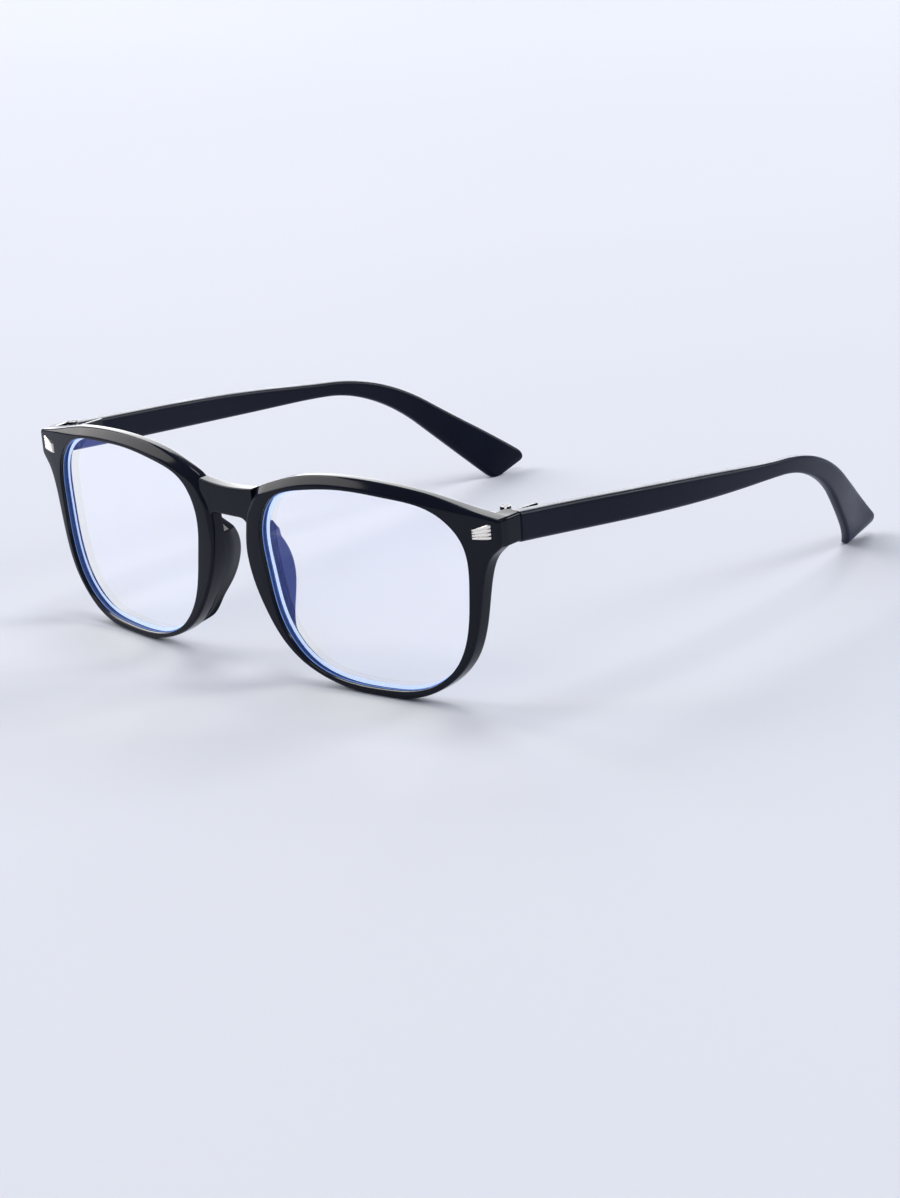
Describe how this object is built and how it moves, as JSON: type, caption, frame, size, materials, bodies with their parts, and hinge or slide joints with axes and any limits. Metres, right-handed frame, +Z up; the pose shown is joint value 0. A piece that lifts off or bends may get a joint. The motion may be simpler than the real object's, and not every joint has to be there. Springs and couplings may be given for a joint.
{
  "type": "blue light glasses",
  "caption": "Full-rim plastic glasses with clear blue light lenses, a saddle bridge, small metal plaques and folding temples.",
  "frame": {"origin": "on the surface the glasses stand on, under the middle of their box", "axes": "+Z up, +Y from the front towards the temple tips, +X towards the wearer's left"},
  "size_m": [0.147, 0.1574, 0.0471],
  "materials": {
    "gloss_black_front": "glossy moulded black plastic",
    "satin_black_temple": "satin black plastic",
    "coated_lens": "clear lens with a faint blue anti-reflection coating",
    "silver_trim": "bright plated metal",
    "hinge_steel": "small dark steel parts"
  },
  "bodies": {
    "front": {"front_frame": "gloss_black_front", "lens_right": "coated_lens", "lens_left": "coated_lens", "nose_pad_right": "gloss_black_front", "nose_pad_left": "gloss_black_front", "rivet_plaque_right": "silver_trim", "rivet_plaque_left": "silver_trim", "front_hinge_leaf_right": "hinge_steel", "front_hinge_leaf_left": "hinge_steel", "hinge_screw_right": "hinge_steel", "hinge_screw_left": "hinge_steel", "front_leaf_screw_right_1": "hinge_steel", "front_leaf_screw_right_2": "hinge_steel", "front_leaf_screw_left_1": "hinge_steel", "front_leaf_screw_left_2": "hinge_steel"},
    "right_arm": {"temple_right": "satin_black_temple", "temple_hinge_leaf_right": "hinge_steel", "temple_leaf_screw_right_1": "hinge_steel", "temple_leaf_screw_right_2": "hinge_steel"},
    "left_arm": {"temple_left": "satin_black_temple", "temple_hinge_leaf_left": "hinge_steel", "temple_leaf_screw_left_1": "hinge_steel", "temple_leaf_screw_left_2": "hinge_steel"}
  },
  "joints": [
    {"name": "fold_right", "type": "hinge", "parent": "front", "child": "right_arm", "pos_m": [0.0666, -0.06309, 0.04], "axis": [0, 0, 1], "range_deg": [0, 88]},
    {"name": "fold_left", "type": "hinge", "parent": "front", "child": "left_arm", "pos_m": [-0.0666, -0.06309, 0.04], "axis": [0, 0, -1], "range_deg": [0, 82]}
  ]
}
